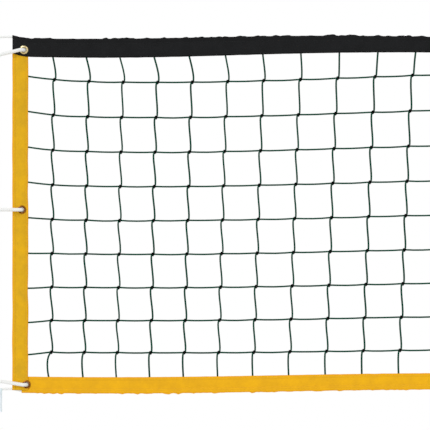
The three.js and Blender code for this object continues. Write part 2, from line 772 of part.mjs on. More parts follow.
function addWinch() {
  const group = new THREE.Group();
  group.position.set(-drumX, 0, winch.z);
  add(group, 'winch_frame', winchFrame(), 'zincSteel');
  add(group, 'winch_u_bolt_upper', uBoltWithNuts(), 'zincSteel', 0, 0, frame.uBolt);
  add(group, 'winch_u_bolt_lower', uBoltWithNuts(), 'zincSteel', 0, 0, pinionZ - frame.uBolt);
  add(group, 'winch_drum', drumBody(), 'zincSteel');
  add(group, 'drum_gear', drumGear(), 'zincSteel');
  add(group, 'ratchet_wheel', ratchetWheel(), 'zincSteel');
  add(group, 'drum_winding', windingRope(), 'whiteRope');
  add(group, 'pinion_shaft', pinionShaft(), 'zincSteel', 0, 0, pinionZ);
  add(group, 'crank_arm', crankArm(), 'zincSteel', 0, 0, pinionZ);
  add(group, 'crank_grip', crankGrip(), 'nylon', 0, 0, pinionZ - crank.length);
  add(group, 'ratchet_pawl', pawlLever(), 'zincSteel', pawl.x, 0, pawl.z);
  assembly.add(group);
}

function addNet() {
  add(assembly, 'netting', nettingSheet(), 'greenTwine');
  add(assembly, 'top_tape', topTape(), 'blackTape');
  add(assembly, 'bottom_tape', bottomTape(), 'yellowTape');
  add(assembly, 'head_rope', headRope(), 'whiteRope');
  add(assembly, 'foot_rope', footRope(), 'whiteRope');
  add(assembly, 'foot_rope_hitch', footRopeHitch(), 'whiteRope');
  add(assembly, 'foot_rope_tail', footRopeTail(), 'whiteRope');
  [left, right].forEach((mirror) => {
    add(assembly, `side_tape_${sideName(mirror)}`, sideTape(mirror), 'yellowTape');
    lashings.forEach((which) => {
      const { x, z } = grommetPlace(mirror, which);
      const label = `${which.name}_${sideName(mirror)}`;
      add(assembly, `grommet_${label}`, grommetRing(), 'brass', x, 0, z);
      add(assembly, `lashing_${label}`, lashingRope(mirror, which), 'whiteRope');
    });
  });
}

addPost(left);
addPost(right);
addWinch();
addNet();

export default assembly;
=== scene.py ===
import json
import random
from math import copysign, cos, dist, exp, floor, pi, radians, sin, sqrt

import bmesh
import bpy
from mathutils import Matrix, Vector, noise

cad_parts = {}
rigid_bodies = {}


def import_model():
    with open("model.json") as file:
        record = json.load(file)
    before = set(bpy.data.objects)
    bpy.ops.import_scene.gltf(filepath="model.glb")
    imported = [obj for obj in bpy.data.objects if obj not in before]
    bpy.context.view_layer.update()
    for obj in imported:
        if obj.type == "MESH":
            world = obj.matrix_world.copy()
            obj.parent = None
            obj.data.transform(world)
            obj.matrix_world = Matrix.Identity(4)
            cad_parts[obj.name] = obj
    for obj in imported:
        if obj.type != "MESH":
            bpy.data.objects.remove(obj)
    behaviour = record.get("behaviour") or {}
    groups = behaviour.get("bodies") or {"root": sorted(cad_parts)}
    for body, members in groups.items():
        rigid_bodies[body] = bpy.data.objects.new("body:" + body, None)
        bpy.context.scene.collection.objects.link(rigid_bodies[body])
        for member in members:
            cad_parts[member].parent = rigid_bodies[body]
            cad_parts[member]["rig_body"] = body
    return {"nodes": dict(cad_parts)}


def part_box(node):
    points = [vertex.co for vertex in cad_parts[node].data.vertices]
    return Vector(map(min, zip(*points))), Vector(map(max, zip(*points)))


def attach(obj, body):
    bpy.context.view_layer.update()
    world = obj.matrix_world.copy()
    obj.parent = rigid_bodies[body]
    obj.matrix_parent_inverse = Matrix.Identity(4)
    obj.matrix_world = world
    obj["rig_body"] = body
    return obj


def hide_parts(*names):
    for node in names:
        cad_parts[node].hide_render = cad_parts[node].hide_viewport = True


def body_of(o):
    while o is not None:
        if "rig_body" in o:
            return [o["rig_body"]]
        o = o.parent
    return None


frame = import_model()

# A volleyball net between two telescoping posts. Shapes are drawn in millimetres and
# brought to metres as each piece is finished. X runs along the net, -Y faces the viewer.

mm = 0.001
scene = bpy.context.scene
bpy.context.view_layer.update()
random.seed(12)


def nodeBox(node):  # a frame node's corners in millimetres
    low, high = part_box(node)
    return Vector(low) / mm, Vector(high) / mm


def nodeCentre(node):
    low, high = nodeBox(node)
    return (low + high) / 2


def nodeSize(node):
    low, high = nodeBox(node)
    return high - low


netLow, netHigh = nodeBox("bottom_tape")[0], nodeBox("top_tape")[1]
netLeft, netTop, netBottom = netLow.x, netHigh.z, netLow.z
netLength = netHigh.x - netLow.x
topBand, footBand = nodeSize("top_tape").z, nodeSize("bottom_tape").z
sideBand = nodeSize("side_tape_left").x
postX = nodeCentre("base_plate_right").x
bothSides, levels = ("left", "right"), ("top", "middle", "bottom")
netBody = "net_and_masts"


def addObject(name, data):
    thing = bpy.data.objects.new(name, data)
    scene.collection.objects.link(thing)
    return thing


def takeMesh(bm, name):  # the bmesh ends here
    mesh = bpy.data.meshes.new(name)
    bm.to_mesh(mesh)
    bm.free()
    return mesh


# ---- camera

picture = {
    "lens": 200,        # a long lens, since the picture is square on
    "sensor": 36,
    "width": 1212.6,    # of the net that the picture takes in
    "fromEnd": 571,     # picture's centre from the net's left edge
    "fromTop": 498.6,   # and down from its top edge
}


def makeCamera():
    camera = addObject("camera", bpy.data.cameras.new("camera"))
    camera.data.lens = picture["lens"]
    camera.data.sensor_width = picture["sensor"]
    distance = picture["width"] * picture["lens"] / picture["sensor"]
    centre = Vector((netLeft + picture["fromEnd"], -distance, netTop - picture["fromTop"]))
    camera.location = centre * mm
    camera.rotation_euler = (radians(90), 0, 0)
    scene.camera = camera


makeCamera()

# ---- materials


def hexColour(code):
    channels = [int(code[i:i + 2], 16) / 255 for i in (0, 2, 4)]
    linear = [c / 12.92 if c <= 0.04045 else ((c + 0.055) / 1.055) ** 2.4 for c in channels]
    return (*linear, 1)


def perMetre(size):  # pattern scale for a feature of so many millimetres
    return 1 / (size * mm)


results = {"TexCoord": "Object", "TexWave": "Fac", "Attribute": "Fac", "Mix": 2}  # else the first
usual = {"Mix": {"data_type": "RGBA"}}


def addNode(tree, kind, inputs=None, **settings):  # returns the output that the node is used for
    node = tree.nodes.new("ShaderNode" + kind)
    for key, value in {**usual.get(kind, {}), **settings}.items():
        setattr(node, key, value)
    for key, value in (inputs or {}).items():
        if isinstance(value, bpy.types.NodeSocket):
            tree.links.new(value, node.inputs[key])
        else:
            node.inputs[key].default_value = hexColour(value) if isinstance(value, str) else value
    return node.outputs[results.get(kind, 0)]


def newMaterial(name, sockets):
    material = bpy.data.materials.new(name)
    material.use_nodes = True
    tree = material.node_tree
    shader = tree.nodes["Principled BSDF"]
    for key, value in sockets.items():
        shader.inputs[key].default_value = value
    return material, tree, shader


def coat(shader, colour, height, strength, depth):
    # joins the colour to the shader, and the relief, whose depth is in millimetres
    tree = shader.id_data
    tree.links.new(colour, shader.inputs["Base Color"])
    if strength:
        bump = addNode(tree, "Bump", {"Height": height, "Strength": strength, "Distance": depth * mm})
        tree.links.new(bump, shader.inputs["Normal"])


def finishPiece(bm, name, material, nodes=(), body=netBody, sharp=80):
    bmesh.ops.scale(bm, vec=(mm, mm, mm), verts=bm.verts)
    mesh = takeMesh(bm, name)
    mesh.shade_smooth()
    mesh.set_sharp_from_angle(angle=radians(sharp))
    mesh.materials.append(material)
    piece = addObject(name, mesh)
    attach(piece, body)
    if nodes:
        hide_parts(*nodes)
    return piece


def addTubes(bm, paths, radius, sides, closed=False, pointed=False):
    # a tube follows each path; its rings come in the path's order, and its ends are closed or pointed
    curve = bpy.data.curves.new("tube", "CURVE")
    curve.dimensions = "3D"
    curve.bevel_depth = radius
    curve.bevel_resolution = (sides - 4) // 2
    for path in paths:
        spline = curve.splines.new("POLY")
        spline.points.add(len(path) - 1)
        for point, place in zip(spline.points, path):
            point.co = (*place, 1)
        if pointed:
            spline.points[0].radius = spline.points[-1].radius = 0.02
        spline.use_cyclic_u = closed
    holder = addObject("tube", curve)
    tube = bpy.data.meshes.new_from_object(holder.evaluated_get(bpy.context.evaluated_depsgraph_get()))
    first = len(bm.verts)
    bm.from_mesh(tube)
    bpy.data.objects.remove(holder)
    bpy.data.curves.remove(curve)
    bpy.data.meshes.remove(tube)
    bm.verts.ensure_lookup_table()
    made = bm.verts[first:]
    if not pointed:
        rims = {edge for vert in made for edge in vert.link_edges if edge.is_boundary}
        bmesh.ops.holes_fill(bm, edges=list(rims), sides=0)
    return made


def smoothPath(points, spacing):
    # a curve through given points, cut into steps of the given length
    curve = []
    padded = [points[0] * 2 - points[1], *points, points[-1] * 2 - points[-2]]
    for before, start, end, after in zip(padded, padded[1:], padded[2:], padded[3:]):
        steps = max(1, round((end - start).length / spacing))
        for i in range(steps):
            t = i / steps
            curve.append(0.5 * (2 * start + (end - before) * t
                                + (2 * before - 5 * start + 4 * end - after) * t ** 2
                                + (3 * start - before - 3 * end + after) * t ** 3))
    return [*curve, points[-1]]


def arcPoints(cx, cy, radius, start, stop, steps):
    angles = [radians(start + (stop - start) * i / steps) for i in range(steps + 1)]
    return [(cx + radius * cos(a), cy + radius * sin(a)) for a in angles]


# Each finish is a patchy tone from `dark` to `light`, sharpened by `blend`. A finer grain, or a
# spangle, may join the tone, and roughness follows the patches or the grain. A patch has a size in
# millimetres, detail and roughness; a grain has a size, detail and how far it is drawn out upwards.
surfaces = {
    # bonded nylon sewing thread, a little shinier than the cloth
    "blackBondedNylon": {
        "slot": "black_tape", "shader": {"Roughness": 0.45, "Specular IOR Level": 0.35},
        "patch": (2.5, 3, 0.5), "dark": "101113", "light": "2c2d30"},
    "yellowBondedNylon": {
        "slot": "yellow_tape", "shader": {"Roughness": 0.45, "Specular IOR Level": 0.35},
        "patch": (2.5, 3, 0.5), "dark": "cf8f0c", "light": "f7c341"},
    # pressed brass, bright where its lacquer holds and brown where it wore; the second is a darker brown
    # copy, painted shade for the eyelets that sit in shadow
    "lacqueredBrass": {
        "slot": "brass_eyelet", "shader": {"Metallic": 1}, "patch": (5, 5, 0.5), "blend": (0.3, 0.54),
        "dark": "b08d4a", "light": "ecdcab", "rough": (0.22, 0.5)},
    "brassPaintedShade": {
        "slot": "brass_eyelet", "shader": {"Metallic": 1}, "patch": (5, 5, 0.5), "blend": (0.38, 0.62),
        "dark": "5c3511", "light": "a5682c", "rough": (0.22, 0.5)},
    # a polyester powder coat with fine orange peel, and dust on it
    "powderCoatedSteel": {
        "slot": "powder_coated_steel", "patch": (70, 6, 0.65), "blend": (0.4, 0.7),
        "dark": "2c3034", "light": "3a3e42", "rough": (0.42, 0.62),
        "grain": (2.2, 2, 1), "bump": (0.25, 0.2)},
    # satin anodised tube: fine lengthwise draw lines under an even grey
    "anodisedAluminium": {
        "slot": "anodised_aluminium", "shader": {"Metallic": 1}, "patch": (120, 4, 0.5), "blend": (0.5, 1.1),
        "dark": "b4b8bb", "light": "cfd2d3", "rough": (0.26, 0.44), "roughFrom": "grain",
        "grain": (1.6, 4, 0.02), "grainShare": 0.6, "bump": (0.12, 0.1)},
    # bright zinc plate: cool grey with a faint spangle and slightly dulled patches
    "zincPlatedSteel": {
        "slot": "zinc_plated_steel", "shader": {"Metallic": 1}, "patch": (22, 5, 0.5), "blend": (0.4, 0.85),
        "dark": "9fa4a8", "light": "c3c7c9", "rough": (0.26, 0.48), "spangle": 5, "grainShare": 0.35},
    # glass-filled nylon: near black with a fine spark-eroded grain from its mould
    "mouldedNylon": {
        "slot": "nylon", "patch": (26, 4, 0.5), "dark": "17181a", "light": "26272a",
        "rough": (0.42, 0.6), "grain": (1.1, 2, 1), "bump": (0.3, 0.15)},
    # plaster, for the stage
    "palePlaster": {
        "slot": None, "shader": {"Roughness": 0.9}, "patch": (30, 4, 0.5),
        "dark": "ecebe8", "light": "f3f2ef"},
}


def makeSurface(name):
    look = surfaces[name]
    material, tree, shader = newMaterial(name, look.get("shader", {}))
    place = addNode(tree, "TexCoord")
    size, detail, fine = look["patch"]
    patch = grain = addNode(tree, "TexNoise", {"Vector": place, "Scale": perMetre(size), "Detail": detail,
                                               "Roughness": fine})
    if "grain" in look:
        size, detail, stretch = look["grain"]
        drawn = addNode(tree, "Mapping", {"Vector": place, "Scale": (1, 1, stretch)})
        grain = addNode(tree, "TexNoise", {"Vector": drawn, "Scale": perMetre(size), "Detail": detail})
    if "spangle" in look:
        grain = addNode(tree, "TexVoronoi", {"Vector": place, "Scale": perMetre(look["spangle"])})
    tone = patch
    if "grainShare" in look:
        tone = addNode(tree, "Math", {0: grain, 1: look["grainShare"], 2: patch}, operation="MULTIPLY_ADD")
    if "blend" in look:
        low, high = look["blend"]
        tone = addNode(tree, "MapRange", {"Value": tone, 1: low, 2: high})
    colour = addNode(tree, "Mix", {0: tone, 6: look["dark"], 7: look["light"]})
    coat(shader, colour, grain, *look.get("bump", (0, 0)))
    if "rough" in look:
        low, high = look["rough"]
        source = grain if "roughFrom" in look else patch
        rough = addNode(tree, "MapRange", {"Value": source, 3: low, 4: high})
        tree.links.new(rough, shader.inputs["Roughness"])
    return material


surface = {name: makeSurface(name) for name in surfaces}

# Braided polyester rope: white filaments with a soft lustre, and painted shade in the hollows of the braid.
ropeLook = {"filament": 0.9, "bump": 0.4, "depth": 0.3}


def makeRopeMaterial(name, ridgeColour, hollowShade):
    material, tree, shader = newMaterial(name, {"Roughness": 0.7, "Sheen Weight": 0.25})
    place = addNode(tree, "TexCoord")
    relief = addNode(tree, "Attribute", attribute_name="relief")
    grain = addNode(tree, "TexNoise", {"Vector": place, "Scale": perMetre(ropeLook["filament"]), "Detail": 3})
    # painted shade: the braid's low points, where the relief is small, take the grey hollow colour
    colour = addNode(tree, "Mix", {0: relief, 6: hollowShade, 7: ridgeColour})
    coat(shader, colour, grain, ropeLook["bump"], ropeLook["depth"])
    return material


def evenPath(points, spacing):  # straight runs between the points, cut into even steps
    path = [points[0]]
    for start, end in zip(points, points[1:]):
        steps = max(1, round((end - start).length / spacing))
        path += [start.lerp(end, (i + 1) / steps) for i in range(steps)]
    return path


# ---- ropes: braided, with each strand passing over and under in relief

whiteRope = makeRopeMaterial("braidedPolyester", "fdfdfc", "dcdfde")
# the hitch and its hanging tail are the same white braid as the other ropes, painted a pale blue-grey as
# shade
shadedCord = makeRopeMaterial("braidedCordPaintedShade", "e9f3f6", "d3e2e6")
braid = {"thickFrom": 9, "thickSides": 24, "thinSides": 16, "stepShare": 0.12, "pitchShare": 0.62,
         "relief": 0.1}
whipping = {"pitch": 1.7, "inset": 0.85, "radius": 0.95, "relief": 0.75}


def braidHeight(along, share, carriers, pitch):
    leading = carriers * share + along / pitch
    trailing = carriers * share - along / pitch
    ridges = [abs(sin(pi * leading)), abs(sin(pi * trailing))]
    if (floor(leading) + floor(trailing)) % 2:
        ridges.reverse()
    return ridges[0] * (0.55 + 0.45 * ridges[1])


def addRope(bm, points, diameter, even=True):
    relief = bm.verts.layers.float.get("relief") or bm.verts.layers.float.new("relief")
    path = evenPath(points, diameter * braid["stepShare"]) if even else points
    sides = braid["thickSides"] if diameter > braid["thickFrom"] else braid["thinSides"]
    made = addTubes(bm, [path], diameter / 2, sides)
    along = 0
    for i, point in enumerate(path):
        along += (point - path[i - 1]).length if i else 0
        for side in range(sides):
            vert = made[i * sides + side]
            height = braidHeight(along, side / sides, sides // 4, diameter * braid["pitchShare"])
            vert.co = point + (vert.co - point) * (1 - braid["relief"] * (1 - height))
            vert[relief] = height


def turnPath(centre, axis, start, radius, angle, rise, steps):
    # a helix about an axis through the centre, from `start`, turning by so many degrees
    aside = Vector(start).normalized()
    across = Vector(axis).cross(aside)
    path = []
    for i in range(steps + 1):
        turn = radians(angle * i / steps)
        out = (aside * cos(turn) + across * sin(turn)) * radius
        path.append(centre + out + Vector(axis) * rise * i / steps)
    return path


def addWhipping(bm, start, end, radius):
    # thin twine wound tightly round a rope
    relief = bm.verts.layers.float["relief"]
    axis = (end - start).normalized()
    length, inner = (end - start).length, radius - whipping["inset"]
    turns = max(3, round(length / whipping["pitch"]))
    coil = turnPath(start, axis, axis.orthogonal(), inner, 360 * turns, length, 14 * turns)
    # the whipping is given three quarters of the ridge colour, so a little of the rope's painted hollow shade
    for vert in addTubes(bm, [coil], whipping["radius"], 6):
        vert[relief] = whipping["relief"]


def addEye(bm, centre, away, aside, radius, diameter, throat):
    # the rope's end laid back round a rod and brought together at the throat
    flat = [(throat, diameter * 0.3), *arcPoints(0, 0, radius, 54, 306, 18), (throat, -diameter * 0.3)]
    addRope(bm, [centre + away * u + aside * v for u, v in flat], diameter)


# The foot rope's hitch has a free end that hangs down, cut and melted at its tip
tail = {"diameter": 6, "top": 1424.1, "end": 1376,
        "sway": [0, 0.1, 0.3, 0.5, 0.5, 0.3, 0, -0.3, -0.6, -0.7, -0.6, -0.4, -0.1, 0.2, 0.4, 0.5, 0.5]}


def makeTail():
    middle = nodeCentre("foot_rope_tail")
    count = len(tail["sway"]) - 1
    path = [Vector((middle.x + 0.4 * sway, sway, tail["top"] + (tail["end"] - tail["top"]) * i / count))
            for i, sway in enumerate(tail["sway"])]
    bm = bmesh.new()
    addRope(bm, smoothPath(path, 0.7), tail["diameter"], even=False)
    piece = finishPiece(bm, "hanging_tail", shadedCord, ["foot_rope_tail"])


makeTail()


# Coated polyester cloth: matt, with the woven threads just showing. A band along each folded edge is painted
# in the edge colour as the fold's light and shade: darker on the black tape, a deeper orange on the yellow.
# Sizes are in millimetres.
tapeCloth = {"thread": 1.1, "blotch": 38, "crease": 14, "creaseShare": 1.6, "foldShadeWidth": 6, "seam": 8.5,
             "seamWidth": 1.6, "seamShare": 0.28, "dots": 0.12, "bump": 0.35, "depth": 0.5}
waveScale = 0.314  # at this scale a wave texture repeats once in each unit


def makeTapeMaterial(name, face, faceBlotch, edge, seam, roughness):
    material, tree, shader = newMaterial(name, {"Roughness": roughness, "Specular IOR Level": 0.2})
    cloth = addNode(tree, "UVMap", uv_map="cloth")
    place = addNode(tree, "TexCoord")
    threads = [addNode(tree, "TexWave", {"Vector": cloth, "Scale": waveScale / tapeCloth["thread"]},
                       bands_direction=direction) for direction in "XY"]
    weave = addNode(tree, "Math", {0: threads[0], 1: threads[1]}, operation="MULTIPLY")
    blotch = addNode(tree, "TexNoise", {"Vector": place, "Scale": perMetre(tapeCloth["blotch"]),
                                        "Detail": 4, "Roughness": 0.6})
    crease = addNode(tree, "TexNoise", {"Vector": place, "Scale": perMetre(tapeCloth["crease"]),
                                        "Detail": 6, "Roughness": 0.55})
    # random blotches between the face colour and a second tone
    tone = addNode(tree, "MapRange", {"Value": blotch, 1: 0.35, 2: 0.65})
    colour = addNode(tree, "Mix", {0: tone, 6: face, 7: faceBlotch})
    hem = addNode(tree, "Attribute", attribute_name="hem")
    # painted light and shade at the folds: within this width of each folded edge the cloth turns to the edge
    # colour
    foldShadeBand = addNode(tree, "MapRange", {"Value": hem, 1: 0, 2: tapeCloth["foldShadeWidth"], 3: 1, 4: 0})
    colour = addNode(tree, "Mix", {0: foldShadeBand, 6: colour, 7: edge})
    fromSeam = addNode(tree, "Math", {0: hem, 1: tapeCloth["seam"]}, operation="SUBTRACT")
    fromSeam = addNode(tree, "Math", {0: fromSeam}, operation="ABSOLUTE")
    line = addNode(tree, "MapRange", {"Value": fromSeam, 1: 0, 2: tapeCloth["seamWidth"],
                                      3: tapeCloth["seamShare"], 4: 0})
    colour = addNode(tree, "Mix", {0: line, 6: colour, 7: seam})
    colour = addNode(tree, "Mix", {0: tapeCloth["dots"], 6: colour, 7: weave}, blend_type="MULTIPLY")
    height = addNode(tree, "Math", {0: crease, 1: tapeCloth["creaseShare"], 2: weave},
                     operation="MULTIPLY_ADD")
    coat(shader, colour, height, tapeCloth["bump"], tapeCloth["depth"])
    return material


# Knotted polyethylene twine: two plies laid together, waxy. The knots, and the twine where it passes into the
# tapes, are painted near black as shade.
twineLook = {"ply": 3.2, "fade": 45, "light": "0d6a50", "dark": "022b1e", "knot": "010201",
             "bump": 0.5, "depth": 0.4}


def makeTwineMaterial():
    material, tree, shader = newMaterial("knottedTwine",
                                         {"Roughness": 0.8, "Specular IOR Level": 0.1})
    place = addNode(tree, "TexCoord")
    lay = addNode(tree, "TexWave", {"Vector": place, "Scale": waveScale * perMetre(twineLook["ply"]),
                                    "Distortion": 1.5, "Detail": 2}, bands_direction="DIAGONAL")
    fade = addNode(tree, "TexNoise", {"Vector": place, "Scale": perMetre(twineLook["fade"]), "Detail": 3})
    # the ply stripes' dark parts are painted shade in the grooves between the plies, mixed with a random fade
    shade = addNode(tree, "Math", {0: lay, 1: fade}, operation="MULTIPLY")
    colour = addNode(tree, "Mix", {0: shade, 6: twineLook["dark"], 7: twineLook["light"]})
    # painted shade: the knot attribute darkens the knots and the twine at the tapes' edges
    knot = addNode(tree, "Attribute", attribute_name="knot")
    colour = addNode(tree, "Mix", {0: knot, 6: colour, 7: twineLook["knot"]})
    coat(shader, colour, lay, twineLook["bump"], twineLook["depth"])
    return material


# colours: face, its blotch tone, the painted fold-edge shade, the seam line
blackCloth = makeTapeMaterial("blackCoatedPolyester",
                              "17181a", "121315", "020203", "0c0d0e", 0.78)
yellowCloth = makeTapeMaterial("yellowCoatedPolyester",
                               "f2b90f", "dfac18", "fdb300", "bf8d0c", 0.7)
# the foot tape's cloth: a lighter copy of the side tapes' yellow
brightCloth = makeTapeMaterial("lighterYellowPolyester",
                               "fdbd0c", "f0b212", "ffb400", "c8920a", 0.7)
twine = makeTwineMaterial()

print("camera and cloth materials made")

# ---- how the net hangs. Distances along the net are from its left edge, drops are from its top.

hang = {
    "topWave": 4.4, "topStart": 200, "topDip": 1.7, "topWaves": 7,
    "depthWave": 6.25, "depthStart": 350, "depthWaves": 4,
    "footWave": 5.7, "footStart": 280, "footDip": 1, "footWaves": 5,
    "cornerLift": 9, "cornerReach": 14, "cornerTilt": 7, "tiltReach": 46,
}
columns, rows = 96, 10


def smoothStep(low, high, value):
    t = min(1, max(0, (value - low) / (high - low)))
    return t * t * (3 - 2 * t)


def swell(along, start, waves):  # 0 at the start, rising to 2 half a wave later
    return 1 - cos(2 * pi * waves * (along - start) / netLength)


def topLift(along):  # how far the top edge stands above its straight line
    end = min(along, netLength - along)
    corner = (hang["cornerLift"] - hang["cornerTilt"]) * exp(-(max(end, 0) / hang["cornerReach"]) ** 2)
    tilt = hang["cornerTilt"] * max(0, 1 - max(end, 0) / hang["tiltReach"]) ** 1.5
    return hang["topWave"] * swell(along, hang["topStart"], hang["topWaves"]) - hang["topDip"] + corner + tilt


def topDepth(along):
    return topBand + 0.8 - hang["depthWave"] * swell(along, hang["depthStart"], hang["depthWaves"])


def footLift(along):
    return hang["footWave"] * swell(along, hang["footStart"], hang["footWaves"]) - hang["footDip"]


drape = {
    "first": 24.7, "pitch": 95.4, "sag": 0.5, "waveTop": 16.1, "waveFoot": 4.9, "waveStart": 3.7, "wave": 24,
    "endTop": 15, "endFoot": -9, "endFade": 1.05,
    "bunch": 9.6, "bunchStart": 2.77, "bunches": 7, "lean": 5.62, "leanBase": 0.16, "leanFade": 9.75,
    "firstShift": 3.45, "shiftFade": 0.7, "inset": 7.4, "side": 6, "border": 19, "sideLift": 8,
    "sideWave": 12, "footRowLift": 5, "footRowReach": 3,
}


def knotPlace(column, row):
    # where strand `column` crosses strand `row`: the outermost ones lie hidden in the tapes
    share = row / rows
    end = min(column, columns - column)
    wave = 1 - cos(2 * pi * (column - drape["waveStart"]) / drape["wave"])
    drop = drape["first"] + drape["pitch"] * row + drape["sag"] * row * (rows - row)
    drop -= (drape["waveTop"] * (1 - share) + drape["waveFoot"] * share) * wave
    endLift = drape["endTop"] * (1 - share) + drape["endFoot"] * share
    drop -= endLift * exp(-drape["endFade"] * end)
    if column in (0, columns):
        drop -= drape["sideLift"] * sin(2 * pi * row / drape["sideWave"])
    if row == rows - 1:
        drop -= drape["footRowLift"] * exp(-end / drape["footRowReach"])
    if row == 0:
        drop = drape["border"] - topLift(column * netLength / columns)
    lean = drape["leanBase"] + drape["lean"] * (1 - exp(-end / drape["leanFade"]))
    along = drape["inset"] + (netLength - 2 * drape["inset"]) * column / columns - lean * row
    bunches = 2 * pi * drape["bunches"] * (column - drape["bunchStart"]) / columns
    along -= drape["bunch"] * sin(bunches)
    along += drape["firstShift"] * exp(-(max(row, 1) - 1) / drape["shiftFade"])
    if column in (0, columns):
        along = drape["side"] if column == 0 else netLength - drape["side"]
    return Vector((netLeft + along, 0, netTop - drop))


# ---- netting: knotted twine in square mesh, in four panels that share their edge knots

strand = {"radius": 2.6, "sides": 6, "steps": 8, "droop": 1.4, "stray": 0.5, "topSway": 8.2, "topSways": 6,
          "swayStart": 7.6, "pressed": 0.35}
knotShape = {"radius": 2.4, "sides": 6, "turn": 2.8, "half": 3.3, "turns": 2.2, "steps": 17, "tilt": 45,
             "spread": 14}


def strayed(point, seed):
    shift = noise.noise_vector(Vector((seed * 3.7, point.x / 60, point.z / 60)))
    return point + Vector((shift.x, 0.6 * shift.y, shift.z)) * strand["stray"]


def uprightStrand(column):
    # each length leaves its knot on the left, leans to the right, and hooks back into the next knot
    path = []
    if column in (0, columns):  # the outermost strands run straight inside the side tapes
        corners = [knotPlace(column, row) for row in range(rows + 1)]
        return evenPath(corners, drape["pitch"] / strand["steps"])
    bow = Vector((-10 * exp(1 - column), 0, 0))
    swing = sin(2 * pi * strand["topSways"] * (column - strand["swayStart"]) / columns)
    sway = strand["topSway"] * swing - 1.2
    for row in range(rows):
        upper, lower = knotPlace(column, row), knotPlace(column, row + 1)
        start, bendOut = upper + Vector((-4, 0, -5)), upper + Vector((-6.5, 0, -22))
        bendIn, end = lower + Vector((5, 0, 28)), lower + Vector((3.2, 0, 5))
        if row == 0:
            upper = Vector((lower.x + 2 * sway, 0, upper.z))
            start, bendOut = upper, Vector((lower.x + sway, 0, lower.z + 62))
        if row == rows - 1:
            bendOut, bendIn, end = bendOut + bow, lower + bow + Vector((0, 0, 30)), lower
        steps = strand["steps"]
        path.append(upper)
        for i in range(steps + 1):
            t = i / steps
            place = start * (1 - t) ** 3 + 3 * bendOut * t * (1 - t) ** 2
            place += 3 * bendIn * t ** 2 * (1 - t) + end * t ** 3
            path.append(strayed(place, column))
    return path


def levelStrand(row, first, last):
    path = [knotPlace(first, row)]
    for column in range(first, last):
        start, end = knotPlace(column, row), knotPlace(column + 1, row)
        droop = strand["droop"] * (0.6 + 0.8 * random.random())
        for i in range(1, 5):
            t = i / 4
            place = start.lerp(end, t) - Vector((0, 0, 4 * droop * t * (1 - t)))
            path.append(strayed(place, 200 + row) if i < 4 else end)
    return path


def knotPath(column, row):
    tilt = radians(knotShape["tilt"] + random.uniform(-1, 1) * knotShape["spread"])
    axis = Vector((cos(tilt), 0, sin(tilt)))
    aside, out = Vector((axis.z, 0, -axis.x)), Vector((0, 1, 0))
    path = []
    for i in range(knotShape["steps"]):
        share = i / (knotShape["steps"] - 1)
        angle = 2 * pi * knotShape["turns"] * share
        turn = (aside * cos(angle) + out * sin(angle)) * knotShape["turn"]
        path.append(knotPlace(column, row) + axis * knotShape["half"] * (2 * share - 1) + turn)
    return path


def insideTapes(point):  # 1 where the tapes cover the netting, falling to 0 just outside them
    along = point.x - netLeft
    return max(
        smoothStep(-2, 3, point.z - (netTop + topLift(along) - topDepth(along))),
        smoothStep(-2, 3, netBottom + footLift(along) + footBand - point.z),
        smoothStep(-2, 3, sideBand - min(along, netLength - along)),
    )


def makeNetPanel(number, first, last):
    bm = bmesh.new()
    paintedShadeLayer = bm.verts.layers.float.new("knot")
    uprights = range(first, last + 1 if last == columns else last)
    strands = [uprightStrand(column) for column in uprights]
    strands += [levelStrand(row, first, last) for row in range(1, rows)]
    for vert in addTubes(bm, strands, strand["radius"], strand["sides"]):
        hidden = insideTapes(vert.co)
        vert.co.y *= 1 - (1 - strand["pressed"]) * hidden
        # painted shade where the twine passes into the tapes
        vert[paintedShadeLayer] = 0.75 * min(1, 4 * hidden * (1 - hidden))
    inner = [column for column in uprights if 0 < column < columns]
    knots = [knotPath(column, row) for column in inner for row in range(1, rows)]
    # the knots take the full painted shade
    for vert in addTubes(bm, knots, knotShape["radius"], knotShape["sides"]):
        vert[paintedShadeLayer] = 1
    finishPiece(bm, f"net_panel_{number}", twine, ["netting"])


panels = 4
for panel in range(panels):
    makeNetPanel(panel + 1, columns * panel // panels, columns * (panel + 1) // panels)
print("netting made")

# ---- tapes: coated polyester folded over the net's edges and sewn through both layers

tape = {
    "thickness": 1.3, "step": 6.3, "bulb": 4.55, "neck": 13.5, "flat": 2.6, "pinch": 2.15, "puff": 2.9,
    "seamUp": 5, "wrinkle": 0.45, "wrinkleLength": 46, "fray": 0.5, "frayLength": 24,
    "pucker": 6.5, "puckerLength": 13, "puckerPatch": 140,
    "footInset": 26, "underReach": 52, "underPinch": 1.55, "sideEnd": 8.9,
}
stitch = {"length": 1.6, "width": 0.5}
holeRadius = 9.6  # in the tape, under a grommet's flange
cornerRope = 11.7  # height of the foot rope above the net's foot where it leaves the corner


def ropedFold(width):  # half of a fold's section, from its lower edge up to its top: (out, drop)
    bulb = tape["bulb"]
    centre = bulb + tape["thickness"] / 2
    return [
        (tape["pinch"] + 0.2, width), (tape["pinch"], width - tape["seamUp"]),
        (tape["flat"], width - 10), (tape["puff"], width * 0.62), (tape["puff"], width * 0.48),
        (tape["flat"], tape["neck"] + 4), (tape["pinch"], tape["neck"]), (3.3, centre + 4.2),
        *((bulb * cos(a), centre - bulb * sin(a)) for a in map(radians, (-20, 5, 30, 55, 75))),
    ]


def plainFold(width):
    flat, radius = tape["flat"], 2.2
    return [
        (tape["pinch"] + 0.1, width), (tape["pinch"], width - tape["seamUp"]),
        (flat, width - 10), (tape["puff"], width * 0.55), (flat, 11), (tape["pinch"], 6), (2.4, 3.5),
        *((radius * cos(a), radius * (1 - sin(a))) for a in map(radians, (25, 60))),
    ]


